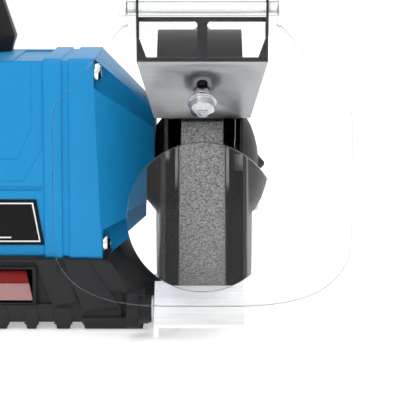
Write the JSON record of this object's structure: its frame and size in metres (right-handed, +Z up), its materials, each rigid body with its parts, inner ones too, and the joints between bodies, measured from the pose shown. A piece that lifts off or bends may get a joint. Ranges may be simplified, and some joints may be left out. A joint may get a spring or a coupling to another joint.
{
  "type": "bench grinder",
  "caption": "Double-ended bench grinder with guarded wheels, tilting tool rests, magnifying eye shields and a gooseneck work lamp.",
  "frame": {"origin": "centre of the four bench bolt holes, on the bench surface", "axes": "+X along the spindle to the right-hand wheel, +Y to the back, +Z up"},
  "size_m": [0.449, 0.21, 0.311],
  "materials": {
    "blue_housing": "satin textured ABS",
    "chrome_screw": "polished",
    "black_plate": "gloss with a pale border",
    "black_plastic": "fine moulded texture",
    "sheet_steel": "zinc plated, brushed",
    "rubber": "matt",
    "switch_body": "moulded",
    "red_rocker": "gloss",
    "capacitor_can": "moulded",
    "machined_steel": "turned",
    "lamination": "stacked sheet",
    "cast_aluminium": "as cast",
    "fan_plastic": "moulded",
    "copper": "enamelled wire",
    "abrasive": "coarse grit",
    "guard_paint": "black powder coat",
    "clear_pane": "clear polycarbonate"
  },
  "bodies": {
    "stand": {"base_plate": "sheet_steel", "base_shell": "black_plastic", "bearing_outer_rings": "machined_steel", "cable_gland": "black_plastic", "capacitor": "capacitor_can", "cover_screws": "chrome_screw", "guard_screws": "guard_paint", "housing_shell": "blue_housing", "lamp_base": "black_plastic", "lamp_head": "black_plastic", "lamp_led_board": "cast_aluminium", "lamp_lens": "clear_pane", "lamp_neck": "black_plastic", "left_bearing_bracket": "cast_aluminium", "left_bracket_bolt": "chrome_screw", "left_end_cover": "blue_housing", "left_guard_cover": "guard_paint", "left_guard_shell": "guard_paint", "left_rest_arm": "sheet_steel", "left_rest_bolt": "machined_steel", "name_plate": "black_plate", "right_bearing_bracket": "cast_aluminium", "right_bracket_bolt": "chrome_screw", "right_end_cover": "blue_housing", "right_guard_cover": "guard_paint", "right_guard_shell": "guard_paint", "right_rest_arm": "sheet_steel", "right_rest_bolt": "machined_steel", "rubber_feet": "rubber", "stator_core": "lamination", "stator_saddles": "lamination", "stator_windings": "copper", "switch_bezel": "black_plastic", "switch_body": "switch_body", "terminal_block": "black_plastic"},
    "rotor": {"shaft": "machined_steel", "rotor_core": "lamination", "rotor_cage": "cast_aluminium", "cooling_fan": "fan_plastic", "bearing_inner_rings": "machined_steel", "bearing_balls": "machined_steel", "right_grinding_wheel": "abrasive", "right_wheel_flanges": "machined_steel", "right_spindle_nut": "machined_steel", "left_grinding_wheel": "abrasive", "left_wheel_flanges": "machined_steel", "left_spindle_nut": "machined_steel"},
    "power_rocker": {"switch_rocker": "red_rocker"},
    "right_shield_mount": {"right_shield_bracket": "sheet_steel", "right_shield_rod": "chrome_screw"},
    "right_eye_shield": {"right_eye_shield": "clear_pane"},
    "right_tool_rest": {"right_tool_rest": "sheet_steel"},
    "right_rest_knob": {"right_rest_knob": "black_plastic"},
    "left_shield_mount": {"left_shield_bracket": "sheet_steel", "left_shield_rod": "chrome_screw"},
    "left_eye_shield": {"left_eye_shield": "clear_pane"},
    "left_tool_rest": {"left_tool_rest": "sheet_steel"},
    "left_rest_knob": {"left_rest_knob": "black_plastic"}
  },
  "joints": [
    {"name": "rotor_spin", "type": "hinge", "parent": "stand", "child": "rotor", "pos_m": [0, 0, 0.092], "axis": [1, 0, 0], "continuous": true},
    {"name": "power_rocker_tilt", "type": "hinge", "parent": "stand", "child": "power_rocker", "pos_m": [0.027, -0.06, 0.0265], "axis": [1, 0, 0], "range_deg": [0, 12]},
    {"name": "right_shield_mount_slide", "type": "slide", "parent": "stand", "child": "right_shield_mount", "axis": [0, -0.7095, 0.7047], "range_m": [-0.001, 0.005]},
    {"name": "right_shield_lift", "type": "hinge", "parent": "right_shield_mount", "child": "right_eye_shield", "pos_m": [0.14, -0.113, 0.1936], "axis": [-1, 0, 0], "range_deg": [0, 75]},
    {"name": "right_rest_tilt", "type": "hinge", "parent": "stand", "child": "right_tool_rest", "pos_m": [0.1135, -0.09, 0.0172], "axis": [1, 0, 0], "range_deg": [-34, 2]},
    {"name": "right_rest_knob_turn", "type": "hinge", "parent": "stand", "child": "right_rest_knob", "pos_m": [0.103, -0.09, 0.0172], "axis": [1, 0, 0], "continuous": true},
    {"name": "left_shield_mount_slide", "type": "slide", "parent": "stand", "child": "left_shield_mount", "axis": [0, -0.7095, 0.7047], "range_m": [-0.001, 0.005]},
    {"name": "left_shield_lift", "type": "hinge", "parent": "left_shield_mount", "child": "left_eye_shield", "pos_m": [-0.14, -0.113, 0.1936], "axis": [-1, 0, 0], "range_deg": [0, 75]},
    {"name": "left_rest_tilt", "type": "hinge", "parent": "stand", "child": "left_tool_rest", "pos_m": [-0.1135, -0.09, 0.0172], "axis": [1, 0, 0], "range_deg": [-34, 2]},
    {"name": "left_rest_knob_turn", "type": "hinge", "parent": "stand", "child": "left_rest_knob", "pos_m": [-0.103, -0.09, 0.0172], "axis": [1, 0, 0], "continuous": true}
  ]
}
